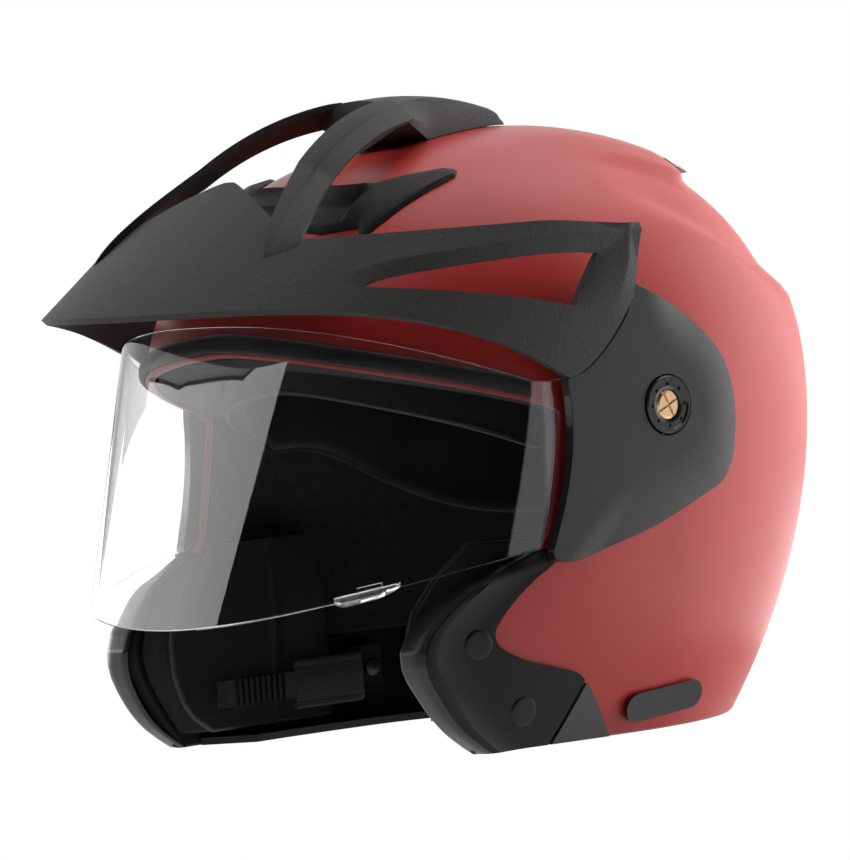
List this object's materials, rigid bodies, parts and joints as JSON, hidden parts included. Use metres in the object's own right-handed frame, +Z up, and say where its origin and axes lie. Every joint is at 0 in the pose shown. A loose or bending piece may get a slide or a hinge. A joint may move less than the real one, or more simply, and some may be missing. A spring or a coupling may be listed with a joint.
{
  "type": "motorcycle helmet",
  "caption": "Open-face motorcycle helmet with a grained peak on arches, a clear lift-up shield on side pivots, cheek guards, padded lining and a chin strap with a quick-release buckle.",
  "frame": {"origin": "middle of the helmet's footprint, on the table its rim stands on", "axes": "+Z up, the wearer faces -Y, +X towards the wearer's left"},
  "size_m": [0.2524, 0.337, 0.26],
  "materials": {
    "shell_red": "satin red paint with soft highlights",
    "foam": "dense moulded foam, dark grey",
    "lining": "brushed knit comfort lining",
    "cheek_fabric": "brushed knit comfort lining",
    "roll_fabric": "soft grained leatherette",
    "seal": "soft black rubber",
    "trim": "moulded black trim",
    "grained_black": "fine moulded grain",
    "cover_black": "satin black moulding",
    "ring_black": "polished black",
    "brass": "turned brass",
    "plate": "moulded grey",
    "steel": "plain steel",
    "clear": "clear hard-coated sheet",
    "clear_tab": "clear moulded tab",
    "guard_black": "satin black moulding",
    "insert_black": "satin dark grey moulding",
    "rivet_black": "satin black caps",
    "vent_black": "satin black moulding",
    "vent_grey": "pale grey moulding",
    "badge_black": "glossy blank plate",
    "webbing": "woven webbing",
    "buckle_black": "moulded black",
    "lever_red": "moulded red"
  },
  "bodies": {
    "helmet": {"outer_shell": "shell_red", "eps_liner": "foam", "crown_pad": "lining", "cheek_pad_left": "cheek_fabric", "cheek_pad_right": "cheek_fabric", "neck_roll": "roll_fabric", "brow_seal": "seal", "base_trim": "trim", "peak": "grained_black", "side_cover_left": "cover_black", "side_cover_right": "cover_black", "pivot_ring_left": "ring_black", "pivot_ring_right": "ring_black", "pivot_screw_left": "brass", "pivot_screw_right": "brass", "base_plate_left": "plate", "base_plate_right": "plate", "base_plate_screws": "steel", "cheek_cover_left": "guard_black", "cheek_cover_right": "guard_black", "cheek_insert_left": "insert_black", "cheek_insert_right": "insert_black", "cheek_rivets_left": "rivet_black", "cheek_rivets_right": "rivet_black", "front_vent": "vent_black", "rear_vent": "vent_grey", "badge_left": "badge_black", "badge_right": "badge_black", "strap_left": "webbing", "strap_right": "webbing", "strap_rivets": "steel", "strap_tongue": "buckle_black", "buckle_body": "buckle_black", "buckle_pin": "steel"},
    "shield": {"shield": "clear", "shield_tab": "clear_tab"},
    "lever": {"buckle_lever": "lever_red"}
  },
  "joints": [
    {"name": "shield_lift", "type": "hinge", "parent": "helmet", "child": "shield", "pos_m": [0, 0.0165, 0.13], "axis": [-1, 0, 0], "range_deg": [0, 25]},
    {"name": "lever_turn", "type": "hinge", "parent": "helmet", "child": "lever", "pos_m": [0.0569, -0.0337, 0.022], "axis": [0, 0, -1], "range_deg": [0, 25], "stiffness_Nm_per_rad": 0.03, "springref_deg": -5.73}
  ]
}
